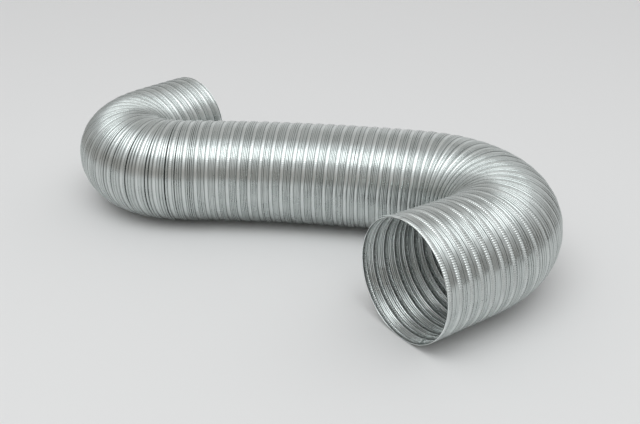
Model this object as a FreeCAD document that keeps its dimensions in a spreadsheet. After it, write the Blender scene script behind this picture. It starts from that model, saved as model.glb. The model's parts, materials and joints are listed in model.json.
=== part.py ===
"""Semi-rigid aluminium air duct, 4 in nominal, wound from one corrugated strip and lying in an S.

Units are millimetres. +Z is up and the duct lies on the plane Z = 0. The long middle stretch, which
is nearly straight, runs along +X. The origin is under the centre of the duct's bounding box.

The strip is divided into its turns, one node each. Each turn holds its stretch of the lock seam, which
is the narrow recessed band, with half of the corrugated band on either side of it. Neighbouring turns
meet in the middle of a corrugated band, where the duct flexes. The last turns at either end slip over
a collar and stay together, so each end has one node, the cuff.

The path is followed from the far end to the near end: cuff, left bend, middle, right bend, cuff.
Headings are in degrees, counter-clockwise from +X seen from above.
"""

import FreeCAD, Part
import math
import os

import Sketcher

VECTOR = FreeCAD.Vector
UP = VECTOR(0, 0, 1)

DIMENSIONS = {
    # cross-section: radii from the duct's axis
    "bore_radius": 51.0,
    "seam_radius": 52.0,
    "ridge_radius": 53.4,
    # lengths along the duct's axis
    "pitch": 11.4,
    "seam_width": 3.0,
    "turn_gap": 0.3,
    # turns of the strip in each section of the path
    "far_cuff_turns": 5,
    "left_bend_turns": 17,
    "middle_turns": 19,
    "right_bend_turns": 21,
    "near_cuff_turns": 5,
    # how far each section turns
    "left_bend_angle": 127.0,
    "middle_angle": 13.0,
    "right_bend_angle": 131.5,
    # turns over which a bend eases in from straight, on its outer and its middle side
    "left_outer_ease": 2.3,
    "left_middle_ease": 2.8,
    "right_middle_ease": 3.4,
    "right_outer_ease": 4.5,
}

SHEET = "Dimensions"
CUTTER_CLEARANCE = 2.0


class Turn:
    """One node's place on the path: its name, number of turns, length, bend and middle."""

    def __init__(self, name, section, turns, share):
        self.name = name
        self.section = section
        self.turns = turns
        self.share = share
        self.length = turns * DIMENSIONS["pitch"]
        if section.endswith("cuff"):
            self.length += (DIMENSIONS["seam_width"] - DIMENSIONS["pitch"]) / 2
        self.bend = BEND_SIGN[section] * share * section_angle(section)

    def place(self, x, y, heading):
        """Follow the path through this node. Returns where the next one starts."""
        self.start = (x, y, heading)
        self.middle = step(x, y, heading, self.bend / 2, self.length / 2)
        self.end = step(*self.middle, self.bend / 2, self.length / 2)
        return self.end


BEND_SIGN = {"far_cuff": 0, "left_bend": 1, "middle": -1, "right_bend": -1, "near_cuff": 0}


def section_angle(section):
    """The whole angle that a section of the path turns through, in degrees."""
    return DIMENSIONS.get(section + "_angle", 0.0)


def step(x, y, heading, bend, length):
    """The point and heading at the end of an arc of this bend and length."""
    half = math.radians(bend / 2)
    chord = length * (math.sin(half) / half if half else 1.0)
    toward = math.radians(heading) + half
    return x + chord * math.cos(toward), y + chord * math.sin(toward), heading + bend


def ease_shares(count, first_ease, last_ease):
    """How a bend's angle is shared out over its turns, easing in at both sides."""
    weights = [
        min(1.0, (i + 0.5) / first_ease, (count - i - 0.5) / last_ease) for i in range(count)
    ]
    return [weight / sum(weights) for weight in weights]


def section_turns(section, shares):
    """The single turns of one section, numbered from the far end."""
    return [
        Turn(f"{section}_turn_{i + 1:02d}", section, 1, share) for i, share in enumerate(shares)
    ]


def follow_path():
    """Every node in order from the far end, placed on the path about the origin."""
    size = DIMENSIONS
    left = ease_shares(
        size["left_bend_turns"], size["left_outer_ease"], size["left_middle_ease"]
    )
    right = ease_shares(
        size["right_bend_turns"], size["right_middle_ease"], size["right_outer_ease"]
    )
    middle = [1.0 / size["middle_turns"]] * size["middle_turns"]
    turns = (
        [Turn("far_cuff", "far_cuff", size["far_cuff_turns"], 0.0)]
        + section_turns("left_bend", left)
        + section_turns("middle", middle)
        + section_turns("right_bend", right)
        + [Turn("near_cuff", "near_cuff", size["near_cuff_turns"], 0.0)]
    )
    heading = size["middle_angle"] / 2 - size["left_bend_angle"]
    place_all(turns, 0.0, 0.0, heading)
    low_x, high_x, low_y, high_y = plan_box(turns)
    place_all(turns, -(low_x + high_x) / 2, -(low_y + high_y) / 2, heading)
    return turns


def place_all(turns, x, y, heading):
    for turn in turns:
        x, y, heading = turn.place(x, y, heading)


def plan_box(turns):
    """The lowest and highest X and Y of the duct's outer wall, seen from above."""
    xs, ys = [], []
    radius = DIMENSIONS["ridge_radius"]
    for turn in turns:
        for x, y, heading in (turn.start, turn.middle, turn.end):
            across = math.radians(heading + 90)
            for side in (-radius, radius):
                xs.append(x + side * math.cos(across))
                ys.append(y + side * math.sin(across))
    return min(xs), max(xs), min(ys), max(ys)


def make_sheet(document):
    """The spreadsheet that holds the driving dimensions."""
    sheet = document.addObject("Spreadsheet::Sheet", SHEET)
    for row, (name, value) in enumerate(DIMENSIONS.items(), start=1):
        sheet.set(f"A{row}", name)
        sheet.set(f"B{row}", str(value))
        sheet.setAlias(f"B{row}", name)
    document.recompute()
    return sheet


def cell(name):
    """The expression for one dimension of the sheet."""
    return f"{SHEET}.{name}"


def origin_feature(body, role):
    """One of the body's own origin planes or axes."""
    return next(f for f in body.Origin.OriginFeatures if f.Role == role)


def new_sketch(body, name):
    """An empty sketch on the body's upright XZ plane."""
    sketch = body.newObject("Sketcher::SketchObject", name)
    sketch.AttachmentSupport = [(origin_feature(body, "XZ_Plane"), "")]
    sketch.MapMode = "FlatFace"
    return sketch


def bind(sketch, constraint, expression):
    """Add a driving constraint whose value follows an expression."""
    index = sketch.addConstraint(constraint)
    sketch.setExpression(f"Constraints[{index}]", expression)


def ring_sketch(body, name, bend_radius, inner, outer):
    """The duct's cross-section between two radii, one bend radius away from the bend's axis."""
    sketch = new_sketch(body, name)
    for expression, radius in ((outer, 60.0), (inner, 50.0)):
        circle = sketch.addGeometry(Part.Circle(VECTOR(100, 0, 0), UP, radius), False)
        bind(sketch, Sketcher.Constraint("Radius", circle, radius), expression)
        bind(sketch, Sketcher.Constraint("DistanceX", -1, 1, circle, 3, 100.0), bend_radius)
        sketch.addConstraint(Sketcher.Constraint("PointOnObject", circle, 3, -1))
    return sketch


def band_sketch(body, name, middle, width, inner, outer):
    """A rectangle above the duct's axis: middle and width along the axis, between two radii."""
    sketch = new_sketch(body, name)
    corners = [VECTOR(-1, 50, 0), VECTOR(1, 50, 0), VECTOR(1, 60, 0), VECTOR(-1, 60, 0)]
    for i in range(4):
        sketch.addGeometry(Part.LineSegment(corners[i], corners[(i + 1) % 4]), False)
    for i in range(4):
        sketch.addConstraint(Sketcher.Constraint("Coincident", i, 2, (i + 1) % 4, 1))
    for kind, line in (("Horizontal", 0), ("Vertical", 1), ("Horizontal", 2), ("Vertical", 3)):
        sketch.addConstraint(Sketcher.Constraint(kind, line))
    bind(sketch, Sketcher.Constraint("DistanceX", 0, 1, 0, 2, 2.0), width)
    bind(sketch, Sketcher.Constraint("DistanceX", -1, 1, 0, 1, -1.0), f"{middle} - ({width}) / 2")
    bind(sketch, Sketcher.Constraint("DistanceY", -1, 1, 0, 1, 50.0), inner)
    bind(sketch, Sketcher.Constraint("DistanceY", -1, 1, 2, 2, 60.0), outer)
    return sketch


def revolve(body, kind, name, sketch, axis, angle=None):
    """Add a Revolution or a Groove, whole or spread evenly about the sketch's plane."""
    feature = body.newObject(f"PartDesign::{kind}", name)
    feature.Profile = sketch
    feature.ReferenceAxis = (origin_feature(body, axis), [""])
    feature.Angle = 360
    if angle:
        feature.Midplane = True
        feature.setExpression("Angle", angle)
    sketch.Visibility = False
    return feature


def curved_turn(document, turn):
    """One turn: a slice of a ring-shaped tube, short inside the bend and long outside it."""
    body = document.addObject("PartDesign::Body", turn.name)
    bend = f"{cell(turn.section + '_angle')} * {turn.share:.6f}"
    bend_radius = f"{cell('pitch')} * 180 / (pi * {bend})"
    outside = f"({bend_radius} + {cell('ridge_radius')})"
    cutter = f"{cell('ridge_radius')} + {CUTTER_CLEARANCE}"
    wall = ring_sketch(body, "wall_ring", bend_radius, cell("bore_radius"), cell("ridge_radius"))
    open_share = f"(1 - {cell('turn_gap')} / {cell('pitch')})"
    revolve(body, "Revolution", "wall", wall, "Z_Axis", f"{bend} * {open_share} * 1 deg")
    seam = ring_sketch(body, "seam_ring", bend_radius, cell("seam_radius"), cutter)
    seam_angle = f"{cell('seam_width')} * 180 / (pi * {outside}) * 1 deg"
    revolve(body, "Groove", "seam", seam, "Z_Axis", seam_angle)
    body.Placement = curved_placement(turn)
    return body


def curved_placement(turn):
    """The body's upright axis is the bend's, and its +X points to the middle of the turn."""
    x, y, heading = turn.middle
    side = 90 if turn.bend > 0 else -90
    radius = turn.length / math.radians(abs(turn.bend))
    toward_centre = math.radians(heading + side)
    centre = VECTOR(
        x + radius * math.cos(toward_centre),
        y + radius * math.sin(toward_centre),
        DIMENSIONS["ridge_radius"],
    )
    return FreeCAD.Placement(centre, FreeCAD.Rotation(UP, heading - side))


def cuff(document, turn):
    """The straight turns of a cuff about the body's X axis, cut square at the last one's seam."""
    body = document.addObject("PartDesign::Body", turn.name)
    mouth = 1 if turn.section == "near_cuff" else -1
    pitch, seam, gap = cell("pitch"), cell("seam_width"), cell("turn_gap")
    length = f"({pitch} * {turn.turns - 0.5} + {seam} / 2)"
    wall = band_sketch(
        body,
        "wall_band",
        f"{mouth} * {gap} / 4",
        f"{length} - {gap} / 2",
        cell("bore_radius"),
        cell("ridge_radius"),
    )
    revolve(body, "Revolution", "wall", wall, "X_Axis")
    cutter = f"{cell('ridge_radius')} + {CUTTER_CLEARANCE}"
    for i in range(turn.turns):
        clearance = CUTTER_CLEARANCE if i == turn.turns - 1 else 0
        middle = f"{mouth} * ({pitch} * {i + 0.5} + {clearance / 2} - {length} / 2)"
        width = f"{seam} + {clearance}"
        groove = band_sketch(body, f"seam_band_{i}", middle, width, cell("seam_radius"), cutter)
        revolve(body, "Groove", f"seam_{i}", groove, "X_Axis")
    x, y, heading = turn.middle
    middle = VECTOR(x, y, DIMENSIONS["ridge_radius"])
    body.Placement = FreeCAD.Placement(middle, FreeCAD.Rotation(UP, heading))
    return body


def check(document, bodies):
    """Stop if any feature failed, or if a body isn't one valid solid."""
    for item in document.Objects:
        if "Invalid" in item.State or "Error" in item.State:
            raise RuntimeError(f"{item.Label} failed: {item.State}")
    for body in bodies:
        shape = body.Shape
        if shape.isNull() or not shape.isValid() or len(shape.Solids) != 1:
            raise RuntimeError(f"{body.Label} isn't one valid solid")


def build():
    """Make the document. Returns the bodies in order from the far end."""
    document = FreeCAD.newDocument("AirDuct")
    make_sheet(document)
    bodies = []
    for turn in follow_path():
        make = cuff if turn.section.endswith("cuff") else curved_turn
        body = make(document, turn)
        body.Label = turn.name
        bodies.append(body)
    document.recompute()
    check(document, bodies)
    return bodies


def main():
    bodies = build()
    os.makedirs("parts", exist_ok=True)
    for body in bodies:
        body.Shape.exportStep(f"parts/{body.Label}.step")
    volume = sum(body.Shape.Volume for body in bodies)
    print(f"{len(bodies)} sub-parts, {volume / 1000:.1f} cm3")


if __name__ == "__main__":
    main()
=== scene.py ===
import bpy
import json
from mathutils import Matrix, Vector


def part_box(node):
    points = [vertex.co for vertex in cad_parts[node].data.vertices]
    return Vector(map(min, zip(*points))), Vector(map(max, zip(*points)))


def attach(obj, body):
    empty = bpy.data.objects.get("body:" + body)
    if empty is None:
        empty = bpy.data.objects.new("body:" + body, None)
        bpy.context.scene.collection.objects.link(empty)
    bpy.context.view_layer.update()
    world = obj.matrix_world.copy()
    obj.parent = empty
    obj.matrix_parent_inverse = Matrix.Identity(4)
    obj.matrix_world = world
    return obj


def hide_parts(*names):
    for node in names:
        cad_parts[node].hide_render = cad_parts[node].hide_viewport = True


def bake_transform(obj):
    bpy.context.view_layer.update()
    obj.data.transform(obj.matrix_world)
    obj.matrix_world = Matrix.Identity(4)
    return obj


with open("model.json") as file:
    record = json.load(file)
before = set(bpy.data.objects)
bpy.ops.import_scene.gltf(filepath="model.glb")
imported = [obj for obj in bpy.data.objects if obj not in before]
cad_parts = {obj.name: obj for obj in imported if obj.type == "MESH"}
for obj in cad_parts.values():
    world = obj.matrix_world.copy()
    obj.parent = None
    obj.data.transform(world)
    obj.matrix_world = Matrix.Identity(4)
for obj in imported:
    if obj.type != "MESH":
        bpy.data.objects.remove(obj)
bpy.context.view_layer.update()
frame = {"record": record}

import json
import math

import bpy
import numpy as np
from mathutils import Vector

# The duct is one aluminium strip wound into turns. Each turn's lock seam is a knurled ring of its own
# that rides on the turn's CAD body, and a pleated band runs between each two neighbouring seams.
# Lengths are in metres. The path is the CAD model's, followed from the far mouth to the near one.
PITCH = 0.0114
CAD_SEAM_WIDTH = 0.003
SEAM_WIDTH = 0.0046  # with the slopes at both sides
LIP_R, RIDGE_R = 0.0524, 0.0533  # the seam lies between two lips, lower than the ridges
SECTIONS = (
    # name, turns, way that it turns, angle, turns that ease in at its first and last side
    ("far_cuff", 5, 0, 0.0, 1, 1),
    ("left_bend", 17, 1, 127.0, 2.3, 2.8),
    ("middle", 19, -1, 13.0, 0.5, 0.5),
    ("right_bend", 21, -1, 131.5, 3.4, 4.5),
    ("near_cuff", 5, 0, 0.0, 1, 1),
)
AXIS_Z = sum(c[2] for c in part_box("middle_turn_10")) / 2

RIBS = 4  # in the band between two seams
RIB_FOIL = 0.0046  # length of foil across one rib
RIB_STEPS = (0.0, 0.05, 0.13, 0.25, 0.41, 0.59, 0.75, 0.87, 0.95)
DEEPEST_CREASE = 0.0016  # before BOLDEST, which can nearly double it
SHARPNESS = 1.9  # of the creases
FULLY_FOLDED = 0.0010  # depth of a crease where little light gets in
CROWN = 0.0004  # the band's middle stands this much higher than its sides, where it isn't pulled out
BAND_COLUMNS = 160
KNURLS = 168  # round one seam
LEAN = 0.002  # the wound seam's top lies this far beyond its sides
SEAM_WANDER, SKEW_WANDER = 0.00016, 0.00008  # uneven winding: a seam's place and lean, and its skew
MOUTH_SEAM_IN = 0.0003  # the seam nearest a mouth stands this much further in
TUCK = 0.00004  # the band's edge under the seam's lip
KNURL_DEPTH = 0.00006
# the near end is pulled out: from this far before its mouth, and wholly after this much more
PULLED_FROM, PULLED_OVER = 0.15, 0.10
PULLED_RISE, PULLED_KNURL = 0.00045, 0.00036  # how much more the seam and its knurls stand out there
BOLDER, BOLDER_IN_MIDDLE = 0.85, 0.15  # one crease of each band is deeper by this share
FAINTEST, BOLDEST = 0.05, 1.9  # limits of a crease's share of the full depth
RIB_SWELL = 0.00005  # how unevenly high the ribs are
SUNK = 0.00007  # the foil lies this far inside its nominal radius
BROAD_DENT, FINE_DENT, CREASED_DENT = 0.00004, 0.000012, 0.00006
BEAD_R, BEAD_WAVE, RIM_WAVE = 0.00026, 0.00008, 0.00012


# ---------------------------------------------------------------- path
class Path:
    """Centreline made of arcs. Arrays hold each turn's start, heading and curvature."""

    def __init__(self):
        self.names, lengths, curves, self.counts = [], [], [], []
        for section, count, way, angle, first, last in SECTIONS:
            if way == 0:
                self.names.append(section)
                lengths.append((count - 0.5) * PITCH + CAD_SEAM_WIDTH / 2)
                curves.append(0.0)
                self.counts.append(count)
                continue
            weights = [
                min(1.0, (i + 0.5) / first, (count - i - 0.5) / last) for i in range(count)
            ]
            for i, weight in enumerate(weights):
                self.names.append(f"{section}_turn_{i + 1:02d}")
                lengths.append(PITCH)
                curves.append(way * math.radians(angle) * weight / sum(weights) / PITCH)
                self.counts.append(1)
        self.length = np.array(lengths)
        self.curve = np.array(curves)
        self.s = np.concatenate([[0.0], np.cumsum(self.length)])
        mouth = next(m for m in frame["record"]["mounts"] if m["name"] == "far_mouth")
        heading = math.atan2(-mouth["axis"][1], -mouth["axis"][0])
        back = self.length[0] / 2
        x = mouth["pos_m"][0] - back * math.cos(heading)
        y = mouth["pos_m"][1] - back * math.sin(heading)
        self.x, self.y, self.heading = [x], [y], [heading]
        for length, curve in zip(self.length, self.curve):
            half = curve * length / 2
            chord = length * np.sinc(half / math.pi)
            self.x.append(self.x[-1] + chord * math.cos(self.heading[-1] + half))
            self.y.append(self.y[-1] + chord * math.sin(self.heading[-1] + half))
            self.heading.append(self.heading[-1] + 2 * half)
        self.x, self.y = np.array(self.x), np.array(self.y)
        self.heading = np.array(self.heading)

    def at(self, s):
        """X, Y and heading at distances s along the path."""
        s = np.asarray(s, float)
        i = np.clip(np.searchsorted(self.s, s, side="right") - 1, 0, len(self.length) - 1)
        ds = s - self.s[i]
        half = self.curve[i] * ds / 2
        chord = ds * np.sinc(half / math.pi)
        x = self.x[i] + chord * np.cos(self.heading[i] + half)
        y = self.y[i] + chord * np.sin(self.heading[i] + half)
        return x, y, self.heading[i] + 2 * half


path = Path()
near_mouth = next(m for m in frame["record"]["mounts"] if m["name"] == "near_mouth")
end_x, end_y, _ = path.at(path.s[-1] - path.length[-1] / 2)
if math.hypot(end_x - near_mouth["pos_m"][0], end_y - near_mouth["pos_m"][1]) > 0.0005:
    raise RuntimeError("the path isn't the CAD model's")


rng = np.random.default_rng(11)


class Seam:
    """One seam: its body, its place on the path, the path's curvature there and its own slant."""

    def __init__(self, turn, s):
        self.turn, self.body = turn, path.names[turn]
        from_mouth = min(s, path.s[-1] - s)
        if from_mouth < PITCH:
            self.s = s + (MOUTH_SEAM_IN if s < PITCH else -MOUTH_SEAM_IN)
        else:
            self.s = s + rng.normal(0, SEAM_WANDER)
        self.curve = path.curve[turn]
        self.x, self.y, self.heading = (float(v) for v in path.at(self.s))
        self.pulled = float(pulled_out(self.s))
        self.lip = LIP_R + PULLED_RISE * self.pulled
        fade = smooth((from_mouth - 0.5 * PITCH) / (4 * PITCH))
        self.lean = fade * (LEAN + rng.normal(0, SEAM_WANDER))
        self.skew = fade * rng.normal(0, SKEW_WANDER)

    def offset(self, phi):
        """How far along the duct the seam's middle line is from its place, at phi."""
        return self.lean * np.sin(phi) + self.skew * np.cos(phi)

    def edge(self, phi, way):
        """The same for where the pleats meet the seam, on its far side (-1) or near side (1)."""
        return self.offset(phi) + way * (half_seam(self, phi) - TUCK)

    def point(self, phi, along, radius):
        """A point beside the seam, this far along the duct and from its axis."""
        side = radius * np.cos(phi)
        x = self.x + along * math.cos(self.heading) - side * math.sin(self.heading)
        y = self.y + along * math.sin(self.heading) + side * math.cos(self.heading)
        return np.stack(np.broadcast_arrays(x, y, AXIS_Z + radius * np.sin(phi)), -1)


def smooth(t):
    t = np.clip(t, 0, 1)
    return t * t * (3 - 2 * t)


def pulled_out(s):
    """From 0 to 1: how far the corrugations are pulled flat, as they are towards the near mouth."""
    return smooth((s - path.s[-1] + PULLED_FROM) / PULLED_OVER)


def all_seams():
    seams = []
    for turn, name in enumerate(path.names):
        count, start, end = path.counts[turn], path.s[turn], path.s[turn + 1]
        places = [start + (i + 0.5) * PITCH for i in range(count)]
        if name == "far_cuff":
            places = [end - (i + 0.5) * PITCH for i in range(count)][::-1]
        seams += [Seam(turn, s) for s in places]
    return seams


# ---------------------------------------------------------------- unevenness of thin foil
def waves(count, along, around):
    """Random waves: each one's rate along the duct and round it, phase and size."""
    return [
        (
            rng.uniform(*along),
            int(rng.integers(*around)),
            rng.uniform(0, 2 * math.pi),
            rng.uniform(0.3, 1.0),
        )
        for _ in range(count)
    ]


BROAD = waves(22, (20, 95), (2, 9))
FINE = waves(22, (150, 420), (9, 30))
CREASED = waves(26, (240, 560), (14, 40))


def unevenness(kind, s, phi):
    return np.tanh(sum(a * np.cos(k * s + n * phi + p) for k, n, p, a in kind) / 3)


def dents(s, phi):
    """How far the foil stands in or out at a place on the path and round it, in metres."""
    handled = 0.15 + 0.85 * pulled_out(s)
    return (
        -SUNK
        + BROAD_DENT * unevenness(BROAD, s, phi)
        + FINE_DENT * unevenness(FINE, s, phi)
        + CREASED_DENT * handled * unevenness(CREASED, s, phi)
    )


# ---------------------------------------------------------------- meshes
def mesh_object(name, rows, folded=0.0, closed_rows=False, closed_columns=True):
    """A sheet from rows of points, each row closed round the duct unless it's a short strip.

    folded says, from 0 to 1, how deep in a crease each point lies, where little light gets in; the
    materials paint shade by it.
    """
    count, columns, _ = rows.shape
    across = np.arange(count - (not closed_rows))
    around = np.arange(columns - (not closed_columns))
    i, j = np.meshgrid(across, around, indexing="ij")
    a = i * columns + j
    b = i * columns + (j + 1) % columns
    c = (i + 1) % count * columns + (j + 1) % columns
    d = (i + 1) % count * columns + j
    faces = np.stack([a, b, c, d], -1).reshape(-1, 4)
    mesh = bpy.data.meshes.new(name)
    mesh.vertices.add(count * columns)
    mesh.vertices.foreach_set("co", rows.reshape(-1).astype(np.float32))
    mesh.loops.add(faces.size)
    mesh.loops.foreach_set("vertex_index", faces.reshape(-1).astype(np.int32))
    mesh.polygons.add(len(faces))
    mesh.polygons.foreach_set("loop_start", np.arange(0, faces.size, 4, dtype=np.int32))
    mesh.polygons.foreach_set("loop_total", np.full(len(faces), 4, np.int32))
    mesh.update(calc_edges=True)
    mesh.validate()
    mesh.polygons.foreach_set("use_smooth", np.ones(len(faces), bool))
    # u runs round the duct and v across the strip, both from 0 to 1
    u = np.stack([j, j + 1, j + 1, j], -1) / columns
    v = np.stack([i, i, i + 1, i + 1], -1) / max(count - 1, 1)
    layer = mesh.uv_layers.new(name="strip")
    layer.data.foreach_set("uv", np.stack([u, v], -1).reshape(-1).astype(np.float32))
    share = np.broadcast_to(folded, rows.shape[:2]).astype(np.float32)
    mesh.attributes.new("folded", "FLOAT", "POINT").data.foreach_set("value", share.reshape(-1))
    thing = bpy.data.objects.new(name, mesh)
    bpy.context.scene.collection.objects.link(thing)
    return thing


def place(s, phi, radius):
    """Points of the duct's wall."""
    x, y, heading = path.at(s)
    side = radius * np.cos(phi)
    return np.stack(
        [x - side * np.sin(heading), y + side * np.cos(heading), AXIS_Z + radius * np.sin(phi)], -1
    )


def lever(seam, phi):
    """How much longer the duct's wall is at phi than its axis, beside this seam."""
    return 1 - seam.curve * RIDGE_R * np.cos(phi)


def half_seam(seam, phi):
    """Half the seam's width. Where a bend closes up, the seam's edges tuck under the pleats."""
    return 0.5 * np.minimum(SEAM_WIDTH, 0.5 * PITCH * lever(seam, phi))


def on_path(seam, phi, along):
    """The place on the path of a point that is this far along the duct from a seam, at phi."""
    if abs(seam.curve) < 1e-6:
        return seam.s + along
    return seam.s + np.arctan(seam.curve * along / lever(seam, phi)) / seam.curve


def crown(a, b):
    """How much higher the middle of the band between two seams is than its sides."""
    return CROWN * (1 - 0.9 * (a.pulled + b.pulled) / 2)


def crease_depths(a, b, phi, rib):
    """Depth of the creases between the ribs, and of the two steps down to the seams."""
    flat = np.sqrt(np.clip(RIB_FOIL**2 - rib**2, 0.16 * RIB_FOIL**2, None))
    pulled = (a.pulled + b.pulled) / 2
    deepest = DEEPEST_CREASE * (1 - 0.3 * pulled)
    full = np.minimum(np.minimum(0.55 * flat, 0.45 * rib), deepest)
    boldest = int(rng.integers(RIBS - 1))
    more = BOLDER_IN_MIDDLE if a.body.startswith("middle") else BOLDER
    depths = [np.full_like(full, RIDGE_R - crown(a, b) - a.lip)]
    for crease in range(RIBS - 1):
        strength = rng.uniform(0.4, 1.0) * (1 - pulled * rng.uniform(0.0, 0.6))
        strength += more * (crease == boldest)
        turns, start = int(rng.integers(1, 4)), rng.uniform(0, 2 * math.pi)
        share = np.clip(strength + 0.18 * np.cos(turns * phi + start), FAINTEST, BOLDEST)
        depths.append(full * share)
    depths.append(np.full_like(full, RIDGE_R - crown(a, b) - b.lip))
    return np.concatenate(depths)


def pleated_band(name, a, b):
    """The corrugated band from seam a's edge to seam b's: rounded ribs with sharp creases."""
    phi = np.linspace(0, 2 * math.pi, BAND_COLUMNS, endpoint=False)[None]
    v = np.array([i + step for i in range(RIBS) for step in RIB_STEPS] + [RIBS]) / RIBS
    crest = np.minimum((v * RIBS).astype(int), RIBS - 1)
    within = v * RIBS - crest
    start = on_path(a, phi, a.edge(phi, 1))
    end = on_path(b, phi, b.edge(phi, -1))
    s = start + (end - start) * v[:, None]
    rib = (end - start) * (lever(a, phi) + lever(b, phi)) / (2 * RIBS)
    creases = crease_depths(a, b, phi, rib)[crest + (within > 0.5)]
    depth = creases * (1 - np.sin(math.pi * within[:, None])) ** SHARPNESS
    swell = RIB_SWELL * rng.normal(0, 1, RIBS)[crest] * np.sin(math.pi * within)
    height = swell - crown(a, b) * (2 * v - 1) ** 2
    rows = place(s, phi, RIDGE_R - depth + height[:, None] + dents(s, phi))
    for seam, way, row, near in ((a, 1, 0, smooth(1 - 4 * v)), (b, -1, -1, smooth(4 * v - 3))):
        along = seam.edge(phi[0], way)
        radius = seam.lip + dents(on_path(seam, phi[0], along), phi[0])
        rows += (seam.point(phi[0], along, radius) - rows[row]) * near[:, None, None]
    return mesh_object(name, rows, np.clip(depth / FULLY_FOLDED, 0, 1))


SEAM_PROFILE = (
    # place across the seam, height under its lips, share of the knurl, how deep in a crease, which
    # sets its painted shade
    (-1.0, 0.0, 0.0, 0.5),
    (-0.88, 0.00055, 0.1, 0.8),
    (-0.76, 0.00016, 1.0, 0.0),
    (0.0, 0.00002, 1.0, 0.0),
    (0.74, 0.00016, 1.0, 0.0),
    (0.87, 0.00085, 0.1, 1.0),
    (1.0, 0.0, 0.0, 0.6),
)


def seam_ring(name, seam, samples):
    """The flattened lock seam with its row of knurls."""
    columns = KNURLS * samples
    phi = np.arange(columns) * 2 * math.pi / columns
    depth = KNURL_DEPTH + PULLED_KNURL * seam.pulled
    wave = depth * np.cos(KNURLS * phi) * (0.8 + 0.2 * np.cos(5 * phi + seam.s * 90))
    rows = []
    for across, under, knurl, _ in SEAM_PROFILE:
        along = seam.offset(phi) + across * half_seam(seam, phi)
        radius = seam.lip - under * (1 - 0.4 * seam.pulled) + knurl * wave
        radius = radius + dents(on_path(seam, phi, along), phi)
        rows.append(seam.point(phi, along, radius))
    return mesh_object(name, np.array(rows), [[row[3]] for row in SEAM_PROFILE])


def rim(name, seam, way):
    """The turned edge of the foil round a mouth, a little wavy where it was cut."""
    phi = np.linspace(0, 2 * math.pi, 3 * BAND_COLUMNS, endpoint=False)
    wave = unevenness(FINE, seam.s, phi)
    sway = unevenness(BROAD, seam.s, phi)
    rows = []
    for turn in np.linspace(0, 2 * math.pi, 8, endpoint=False):
        bead = BEAD_R + BEAD_WAVE * wave
        along = seam.edge(phi, way) + RIM_WAVE * sway + bead * math.cos(turn)
        rows.append(seam.point(phi, along, seam.lip + RIM_WAVE * wave + bead * math.sin(turn)))
    return mesh_object(name, np.array(rows), closed_rows=True)


def loose_end(name, seam, start, stop, across, lift):
    """A short tail of the cut strip on the seam: it lies flat at its start and lifts at its stop."""
    t = np.linspace(0, 1, 25)
    phi = np.radians(start + (stop - start) * t)
    rows = []
    for place_across in np.linspace(across[0], across[1], 5):
        curl = lift * t**2 + 0.00006 * np.sin(9 * t + 300 * place_across)
        along = seam.offset(phi) + place_across
        rows.append(seam.point(phi, along, seam.lip + math.copysign(0.0004, lift) - 0.0003 + curl))
    return mesh_object(name, np.array(rows), closed_columns=False)


# ---------------------------------------------------------------- materials
def new_material(name):
    material = bpy.data.materials.new(name)
    material.use_nodes = True
    nodes = material.node_tree.nodes
    nodes.clear()
    output = nodes.new("ShaderNodeOutputMaterial")
    shader = nodes.new("ShaderNodeBsdfPrincipled")
    material.node_tree.links.new(shader.outputs["BSDF"], output.inputs["Surface"])
    return material, nodes, material.node_tree.links, shader


# Two adjustments to the look: the foil's inner side gets painted light, and its folds get painted
# shade.
# A bake sees only the outer side, so a baked model loses the first.
INSIDE_PAINTED_LIGHT = (0.86, 0.90, 0.89)
# Painted shade for the creases, mixed in by the folded attribute.
FOLDED_SHADE = (0.14, 0.155, 0.15)
ANISOTROPY, QUARTER_TURN = 0.85, 0.25  # how far the gloss is drawn out, and its direction in turns
CLOUD_SCALE = 55.0
ROLLING_MARKS = (30.0, 22.0, 1.0)  # round the duct and across the strip
MARK_DEPTH = 0.0002


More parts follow.
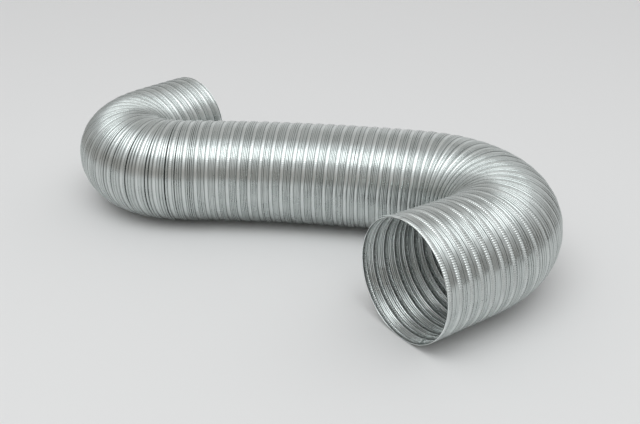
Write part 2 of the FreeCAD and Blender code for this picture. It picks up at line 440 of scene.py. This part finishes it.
def aluminium(name, light, dark, roughness, relief):
    """Rolled aluminium: cloudy colour and gloss, fine rolling marks that run along the strip, painted
    light on its inner side and painted shade in its folds.
    """
    material, nodes, links, shader = new_material(name)
    shader.inputs["Metallic"].default_value = 1.0
    shader.inputs["Anisotropic"].default_value = ANISOTROPY
    shader.inputs["Anisotropic Rotation"].default_value = QUARTER_TURN
    tangent = nodes.new("ShaderNodeTangent")
    tangent.direction_type = "UV_MAP"
    tangent.uv_map = "strip"
    links.new(tangent.outputs["Tangent"], shader.inputs["Tangent"])
    where = nodes.new("ShaderNodeTexCoord")
    cloud = nodes.new("ShaderNodeTexNoise")
    cloud.inputs["Scale"].default_value = CLOUD_SCALE
    cloud.inputs["Detail"].default_value = 4.0
    links.new(where.outputs["Object"], cloud.inputs["Vector"])
    colour = nodes.new("ShaderNodeValToRGB")
    colour.color_ramp.elements[0].position = 0.35
    colour.color_ramp.elements[0].color = (*dark, 1)
    colour.color_ramp.elements[1].position = 0.65
    colour.color_ramp.elements[1].color = (*light, 1)
    links.new(cloud.outputs["Fac"], colour.inputs["Fac"])
    # Painted light: the inner side of the foil takes a lighter colour of its own.
    side = nodes.new("ShaderNodeNewGeometry")
    inner = nodes.new("ShaderNodeMix")
    inner.data_type = "RGBA"
    links.new(side.outputs["Backfacing"], inner.inputs[0])
    links.new(colour.outputs["Color"], inner.inputs[6])
    inner.inputs[7].default_value = (*INSIDE_PAINTED_LIGHT, 1)
    # Painted shade: the colour darkens towards FOLDED_SHADE as a point lies deeper in a crease.
    folded = nodes.new("ShaderNodeAttribute")
    folded.attribute_name = "folded"
    shade = nodes.new("ShaderNodeMix")
    shade.data_type = "RGBA"
    links.new(folded.outputs["Fac"], shade.inputs[0])
    links.new(inner.outputs[2], shade.inputs[6])
    shade.inputs[7].default_value = (*FOLDED_SHADE, 1)
    links.new(shade.outputs[2], shader.inputs["Base Color"])
    gloss = nodes.new("ShaderNodeMapRange")
    gloss.inputs["From Min"].default_value = 0.3
    gloss.inputs["From Max"].default_value = 0.7
    gloss.inputs["To Min"].default_value = roughness[0]
    gloss.inputs["To Max"].default_value = roughness[1]
    links.new(cloud.outputs["Fac"], gloss.inputs["Value"])
    links.new(gloss.outputs["Result"], shader.inputs["Roughness"])

    rolled = nodes.new("ShaderNodeMapping")
    rolled.inputs["Scale"].default_value = ROLLING_MARKS
    links.new(where.outputs["UV"], rolled.inputs["Vector"])
    marks = nodes.new("ShaderNodeTexNoise")
    marks.inputs["Scale"].default_value = 1.0
    marks.inputs["Detail"].default_value = 3.0
    links.new(rolled.outputs["Vector"], marks.inputs["Vector"])
    bump = nodes.new("ShaderNodeBump")
    bump.inputs["Strength"].default_value = relief
    bump.inputs["Distance"].default_value = MARK_DEPTH
    links.new(marks.outputs["Fac"], bump.inputs["Height"])
    links.new(bump.outputs["Normal"], shader.inputs["Normal"])
    return material


# The pleated band's colours are darker than the seam's: partly the duller, creased foil, partly
# painted shade for light lost among the deep pleats.
band_metal = aluminium(
    "pleated_aluminium", (0.66, 0.70, 0.69), (0.55, 0.59, 0.58), (0.24, 0.32), 0.12
)
seam_metal = aluminium("seam_aluminium", (0.75, 0.79, 0.78), (0.68, 0.72, 0.71), (0.26, 0.34), 0.1)


def dress(thing, material):
    thing.data.materials.append(material)
    return thing


# ---------------------------------------------------------------- the duct
def blend_reach(a, b, centre, along):
    """The distance from the joint at which both seams' edges lie wholly beyond it, all round."""
    phi = np.linspace(0, 2 * math.pi, BAND_COLUMNS, endpoint=False)
    reach = []
    for seam, way in ((a, 1), (b, -1)):
        edge = seam.point(phi, seam.edge(phi, way), RIDGE_R)
        reach.append(np.abs((edge - np.array(centre)) @ np.array(along)).min())
    return float(min(reach))


seams = all_seams()
replaced = set()
for number, seam in enumerate(seams, start=1):
    close_up = path.s[-1] - seam.s < PULLED_FROM
    ring = seam_ring(f"seam_{number:02d}", seam, 4 if close_up else 3)
    dress(ring, seam_metal)
    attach(ring, seam.body)
    if seam.body not in replaced:
        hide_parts(seam.body)
        replaced.add(seam.body)

for number, (a, b) in enumerate(zip(seams, seams[1:]), start=1):
    band = pleated_band(f"pleats_{number:02d}", a, b)
    dress(band, band_metal)
    if a.body == b.body:
        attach(band, a.body)
        continue
    x, y, heading = (float(w) for w in path.at(path.s[b.turn]))
    slant = (a.lean + b.lean) / (2 * RIDGE_R)
    along = Vector((math.cos(heading), math.sin(heading), -slant)).normalized()
    centre = Vector((x, y, AXIS_Z))
    reach = along * blend_reach(a, b, centre, along)
    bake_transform(band)

for name, seam, way in (("far_rim", seams[0], -1), ("near_rim", seams[-1], 1)):
    edge = dress(rim(name, seam, way), seam_metal)
    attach(edge, seam.body)

LOOSE_ENDS = (
    # name, degrees round the mouth where it starts and stops, place across the seam, lift
    ("near_outer_tail", 98, 137, (-0.0016, 0.0022), 0.0034),
    ("near_cut_corner", 246, 234, (0.0001, 0.0019), 0.0016),
    ("near_inner_tail", 293, 306, (-0.0016, 0.0018), -0.0050),
)
for name, start, stop, across, lift in LOOSE_ENDS:
    tail = dress(loose_end(name, seams[-1], start, stop, across, lift), seam_metal)
    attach(tail, "near_cuff")


# ---------------------------------------------------------------- stage
DOME_STRENGTH = 1.58
FLOOR_SIZE, FLOOR_DROP, FLOOR_GREYS = 30.0, 0.0003, (0.74, 0.77)
# height of the direction's vector, brightness, warmth
FRONT_DOME = (
    (0.0, 0.27, 0.04),
    (1.0, 0.66, 0.0),
    (0.28, 0.25, 0.05),
    (0.57, 0.46, 0.0),
    (0.82, 0.67, -0.01),
    (0.94, 0.95, -0.02),
)
BACK_DOME = ((0.0, 0.27, 0.0), (1.0, 0.45, 0.0), (0.5, 0.48, 0.0), (0.8, 0.38, 0.02))
DOME_LOBES = (
    # azimuth and elevation, in degrees from the camera's side; whole within and gone beyond;
    # brightness, warmth
    ((90, 0), (24, 52), 0.06, 0.04),
    ((-112, 30), (16, 40), 0.31, 0.0),
    ((150, 5), (40, 80), 0.46, 0.0),
    ((-168, 62), (18, 42), 0.33, 0.02),
    ((-20, 68), (14, 34), 0.95, -0.02),
)


def stage_floor():
    mesh = bpy.data.meshes.new("floor")
    size = FLOOR_SIZE
    mesh.from_pydata(
        [(-size, -size, 0), (size, -size, 0), (size, size, 0), (-size, size, 0)], [], [(0, 1, 2, 3)]
    )
    floor = bpy.data.objects.new("floor", mesh)
    bpy.context.scene.collection.objects.link(floor)
    floor.location.z = -FLOOR_DROP
    material, nodes, links, shader = new_material("pale_floor")
    grain = nodes.new("ShaderNodeTexNoise")
    grain.inputs["Scale"].default_value = 3.0
    tint = nodes.new("ShaderNodeValToRGB")
    for stop, grey in zip(tint.color_ramp.elements, FLOOR_GREYS):
        stop.color = (grey, grey, grey, 1)
    links.new(grain.outputs["Fac"], tint.inputs["Fac"])
    links.new(tint.outputs["Color"], shader.inputs["Base Color"])
    shader.inputs["Roughness"].default_value = 0.8
    mesh.materials.append(material)


def area_light(name, place_at, aim, size, power, colour):
    data = bpy.data.lights.new(name, "AREA")
    data.shape = "RECTANGLE"
    data.size, data.size_y = size
    data.energy = power
    data.color = colour
    thing = bpy.data.objects.new(name, data)
    bpy.context.scene.collection.objects.link(thing)
    thing.location = place_at
    thing.rotation_euler = (Vector(aim) - Vector(place_at)).to_track_quat("-Z", "Y").to_euler()
    thing.visible_camera = False
    return thing


stage_floor()
area_light("softbox", (0.0, -0.78, 1.7), (0.0, 0.0, 0.0), (1.8, 0.9), 8, (0.97, 1.0, 0.99))


def studio_dome():
    """Soft light all round: dim at the horizon and brighter above, with a few fields of their own."""
    world = bpy.data.worlds.new("studio")
    bpy.context.scene.world = world
    world.use_nodes = True
    nodes, links = world.node_tree.nodes, world.node_tree.links
    direction = nodes.new("ShaderNodeTexCoord")
    split = nodes.new("ShaderNodeSeparateXYZ")
    links.new(direction.outputs["Generated"], split.inputs["Vector"])
    ramps = []
    for stops in (FRONT_DOME, BACK_DOME):
        ramp = nodes.new("ShaderNodeValToRGB")
        ramp.color_ramp.interpolation = "EASE"
        for i, (height, level, warmth) in enumerate(stops):
            if i < 2:
                stop = ramp.color_ramp.elements[i]
                stop.position = height
            else:
                stop = ramp.color_ramp.elements.new(height)
            stop.color = (level * (1 + warmth), level, level * (1 - warmth), 1)
        links.new(split.outputs["Z"], ramp.inputs["Fac"])
        ramps.append(ramp)
    side = nodes.new("ShaderNodeMapRange")
    side.interpolation_type = "SMOOTHSTEP"
    side.inputs["From Min"].default_value = 0.0
    side.inputs["From Max"].default_value = 0.6
    links.new(split.outputs["Y"], side.inputs["Value"])
    light = mixed(nodes, links, side, ramps[0].outputs["Color"], ramps[1].outputs["Color"])
    for (azimuth, elevation), (whole, gone), level, warmth in DOME_LOBES:
        near = nodes.new("ShaderNodeVectorMath")
        near.operation = "DOT_PRODUCT"
        near.inputs[1].default_value = heading_vector(azimuth, elevation)
        links.new(direction.outputs["Generated"], near.inputs[0])
        lobe = nodes.new("ShaderNodeMapRange")
        lobe.interpolation_type = "SMOOTHSTEP"
        lobe.inputs["From Min"].default_value = math.cos(math.radians(gone))
        lobe.inputs["From Max"].default_value = math.cos(math.radians(whole))
        links.new(near.outputs["Value"], lobe.inputs["Value"])
        colour = (level * (1 + warmth), level, level * (1 - warmth), 1)
        light = mixed(nodes, links, lobe, light, colour)
    links.new(light, nodes["Background"].inputs["Color"])
    nodes["Background"].inputs["Strength"].default_value = DOME_STRENGTH


def heading_vector(azimuth, elevation):
    """A direction from its azimuth, 0 towards -Y and 90 towards +X, and its elevation."""
    turn, rise = math.radians(azimuth), math.radians(elevation)
    return (math.cos(rise) * math.sin(turn), -math.cos(rise) * math.cos(turn), math.sin(rise))


def mixed(nodes, links, factor, first, second):
    """A colour mix node's output. The second colour is a socket or a plain colour."""
    mix = nodes.new("ShaderNodeMix")
    mix.data_type = "RGBA"
    links.new(factor.outputs["Result"], mix.inputs[0])
    links.new(first, mix.inputs[6])
    if isinstance(second, tuple):
        mix.inputs[7].default_value = second
    else:
        links.new(second, mix.inputs[7])
    return mix.outputs[2]


studio_dome()


# ---------------------------------------------------------------- camera
ELEVATION, AZIMUTH, DISTANCE = 0.447, 0.129, 0.7224
PICTURE_WIDTH, SENSOR_WIDTH = 640, 36.0
FOCAL = 770.4  # in pixels of that width, as SHIFT is
AIM = (0.0419, -0.0960)
SHIFT = (7.5, 2.5)


def camera():
    low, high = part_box("middle_turn_10")
    target = Vector(((low.x + high.x) / 2 + AIM[0], (low.y + high.y) / 2 + AIM[1], AXIS_Z))
    toward = Vector(
        (
            math.cos(ELEVATION) * math.sin(AZIMUTH),
            -math.cos(ELEVATION) * math.cos(AZIMUTH),
            math.sin(ELEVATION),
        )
    )
    data = bpy.data.cameras.new("camera")
    data.sensor_fit = "HORIZONTAL"
    data.sensor_width = SENSOR_WIDTH
    data.lens = FOCAL * SENSOR_WIDTH / PICTURE_WIDTH
    data.shift_x = -SHIFT[0] / PICTURE_WIDTH
    data.shift_y = SHIFT[1] / PICTURE_WIDTH
    data.clip_start = 0.01
    thing = bpy.data.objects.new("camera", data)
    bpy.context.scene.collection.objects.link(thing)
    thing.location = target + toward * DISTANCE
    thing.rotation_euler = (-toward).to_track_quat("-Z", "Y").to_euler()
    bpy.context.scene.camera = thing


camera()
bpy.context.scene.view_settings.view_transform = "Standard"
